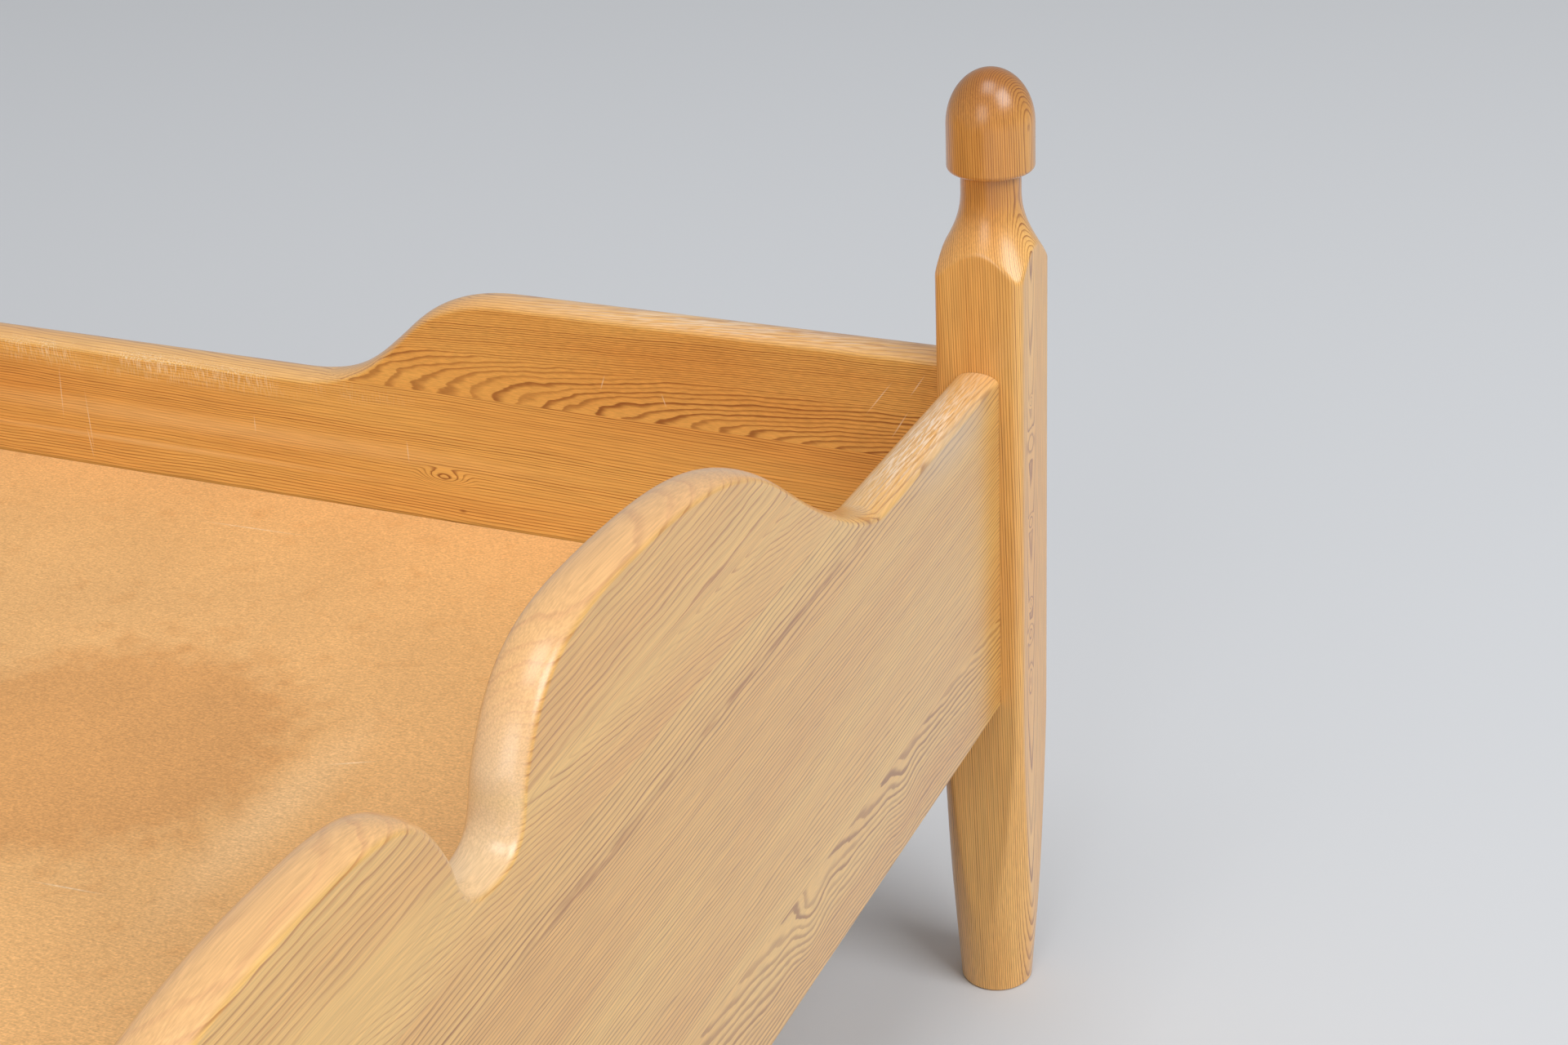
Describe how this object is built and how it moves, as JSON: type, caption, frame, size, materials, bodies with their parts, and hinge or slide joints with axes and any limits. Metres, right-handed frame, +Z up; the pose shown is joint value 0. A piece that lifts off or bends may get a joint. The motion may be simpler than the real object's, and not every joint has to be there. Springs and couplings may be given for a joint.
{
  "type": "double bed",
  "caption": "Lacquered pine double bed with turned square posts, scalloped end panels, shouldered side rails and a fibreboard base that carries a mattress.",
  "frame": {"origin": "on the floor, in the middle of the bed's plan", "axes": "+X along the bed towards the foot end, +Y across the bed towards the right side as seen from the foot end, +Z up"},
  "size_m": [2.114, 1.513, 0.728],
  "materials": {
    "pine_post": "clear lacquer, satin gloss",
    "pine_board": "clear lacquer, satin gloss",
    "bare_deal": "planed, unfinished",
    "fibreboard": "smooth pressed face, matt",
    "steel": "dull, slightly aged"
  },
  "bodies": {
    "root": {"foot_post_right": "pine_post", "foot_post_left": "pine_post", "head_post_right": "pine_post", "head_post_left": "pine_post", "foot_panel_lower_board": "pine_board", "foot_panel_middle_board": "pine_board", "foot_panel_upper_board": "pine_board", "head_panel_lower_board": "pine_board", "head_panel_middle_board": "pine_board", "head_panel_upper_board": "pine_board", "right_rail_board": "pine_board", "right_rail_foot_shoulder": "pine_board", "right_rail_head_shoulder": "pine_board", "left_rail_board": "pine_board", "left_rail_foot_shoulder": "pine_board", "left_rail_head_shoulder": "pine_board", "foot_right_hook_plate": "steel", "foot_right_slot_plate": "steel", "foot_left_hook_plate": "steel", "foot_left_slot_plate": "steel", "head_right_hook_plate": "steel", "head_right_slot_plate": "steel", "head_left_hook_plate": "steel", "head_left_slot_plate": "steel", "right_ledger": "bare_deal", "left_ledger": "bare_deal", "right_ledger_screw_1": "steel", "right_ledger_screw_2": "steel", "right_ledger_screw_3": "steel", "right_ledger_screw_4": "steel", "right_ledger_screw_5": "steel", "left_ledger_screw_1": "steel", "left_ledger_screw_2": "steel", "left_ledger_screw_3": "steel", "left_ledger_screw_4": "steel", "left_ledger_screw_5": "steel", "slat_1": "bare_deal", "slat_2": "bare_deal", "slat_3": "bare_deal", "slat_4": "bare_deal", "slat_5": "bare_deal", "slat_6": "bare_deal", "slat_7": "bare_deal", "slat_8": "bare_deal", "slat_9": "bare_deal", "middle_beam": "bare_deal", "middle_leg": "bare_deal", "foot_beam_cradle": "bare_deal", "head_beam_cradle": "bare_deal", "foot_beam_cradle_screw_1": "steel", "foot_beam_cradle_screw_2": "steel", "head_beam_cradle_screw_1": "steel", "head_beam_cradle_screw_2": "steel", "base_sheet_foot": "fibreboard", "base_sheet_head": "fibreboard"}
  },
  "joints": []
}
